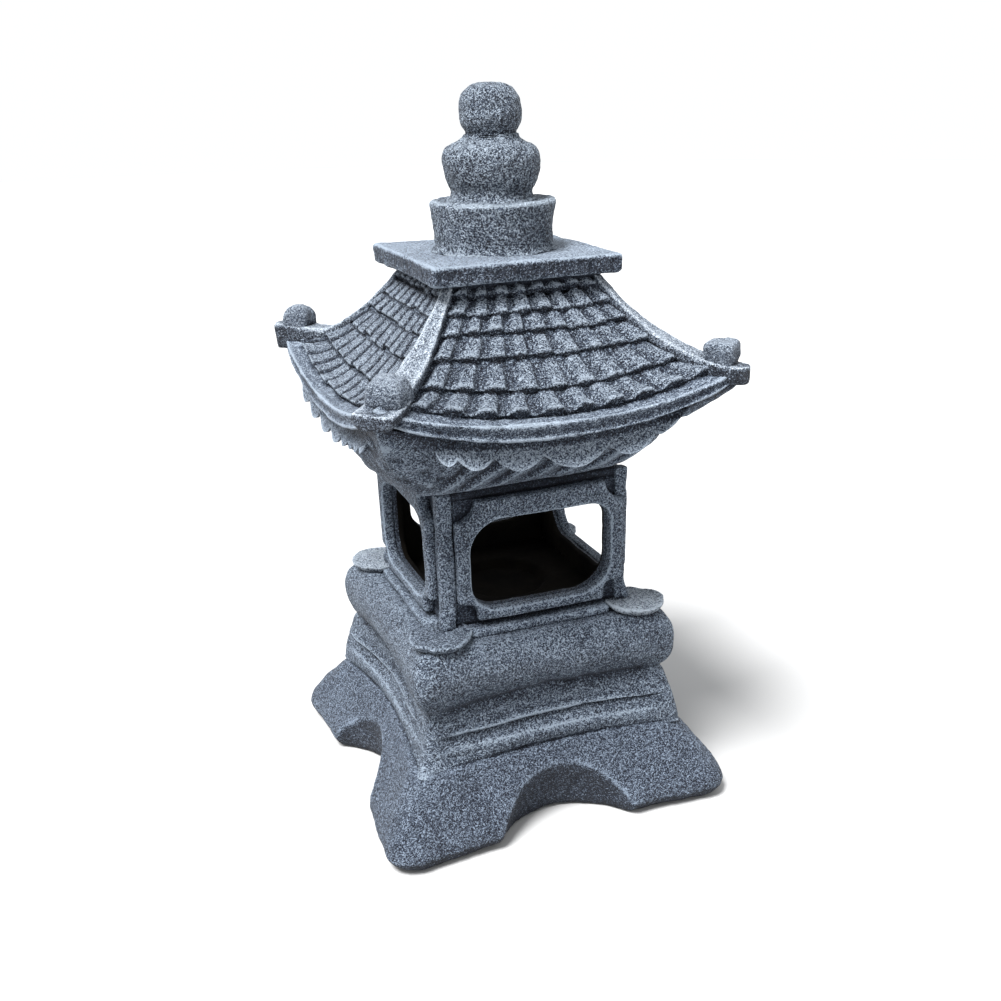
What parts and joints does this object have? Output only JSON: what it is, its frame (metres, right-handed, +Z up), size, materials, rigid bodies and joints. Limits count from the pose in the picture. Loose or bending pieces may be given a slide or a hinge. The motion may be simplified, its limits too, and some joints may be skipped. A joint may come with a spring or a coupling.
{
  "type": "stone lantern",
  "caption": "Garden lantern of stacked stones: flared footed pedestal, open square light chamber with framed windows, hipped tile roof with upturned corners and a gourd finial.",
  "frame": {"origin": "on the ground under the middle of the lantern", "axes": "+Z up through the finial, front window faces -Y"},
  "size_m": [0.1608, 0.1608, 0.3],
  "materials": {
    "stone": "rough cast, blue-grey with pale rubbed high spots",
    "tile_stone": "rough cast, darker joints between the tiles",
    "ridge_stone": "rough cast, rubbed paler than the rest"
  },
  "bodies": {
    "pedestal": {"corner_pad_back_left": "stone", "corner_pad_back_right": "stone", "corner_pad_front_left": "stone", "corner_pad_front_right": "stone", "foot_block": "stone", "lower_step": "stone", "platform_roll": "stone", "sill_course": "stone", "upper_step": "stone"},
    "light_chamber": {"corner_post_back_left": "stone", "corner_post_back_right": "stone", "corner_post_front_left": "stone", "corner_post_front_right": "stone", "head_course": "stone", "wall_panel_back": "stone", "wall_panel_front": "stone", "wall_panel_left": "stone", "wall_panel_right": "stone", "window_frame_back": "stone", "window_frame_front": "stone", "window_frame_left": "stone", "window_frame_right": "stone"},
    "roof": {"cap_slab": "stone", "fascia_back": "stone", "fascia_front": "stone", "fascia_left": "stone", "fascia_right": "stone", "hip_ridge_back_left": "ridge_stone", "hip_ridge_back_right": "ridge_stone", "hip_ridge_front_left": "ridge_stone", "hip_ridge_front_right": "ridge_stone", "ridge_knob_back_left": "ridge_stone", "ridge_knob_back_right": "ridge_stone", "ridge_knob_front_left": "ridge_stone", "ridge_knob_front_right": "ridge_stone", "roof_collar": "stone", "roof_slope_back": "stone", "roof_slope_front": "stone", "roof_slope_left": "stone", "roof_slope_right": "stone", "soffit_bed": "stone", "tile_courses_back": "tile_stone", "tile_courses_front": "tile_stone", "tile_courses_left": "tile_stone", "tile_courses_right": "tile_stone", "valance_back": "stone", "valance_front": "stone", "valance_left": "stone", "valance_right": "stone"},
    "finial": {"finial_ball": "stone", "finial_bulb": "stone", "finial_drum": "stone"}
  },
  "joints": [
    {"name": "chamber_lift", "type": "slide", "parent": "pedestal", "child": "light_chamber", "axis": [0, 0, 1], "range_m": [0, 0.1]},
    {"name": "roof_lift", "type": "slide", "parent": "light_chamber", "child": "roof", "axis": [0, 0, 1], "range_m": [0, 0.1]},
    {"name": "finial_lift", "type": "slide", "parent": "roof", "child": "finial", "axis": [0, 0, 1], "range_m": [0, 0.06]}
  ]
}
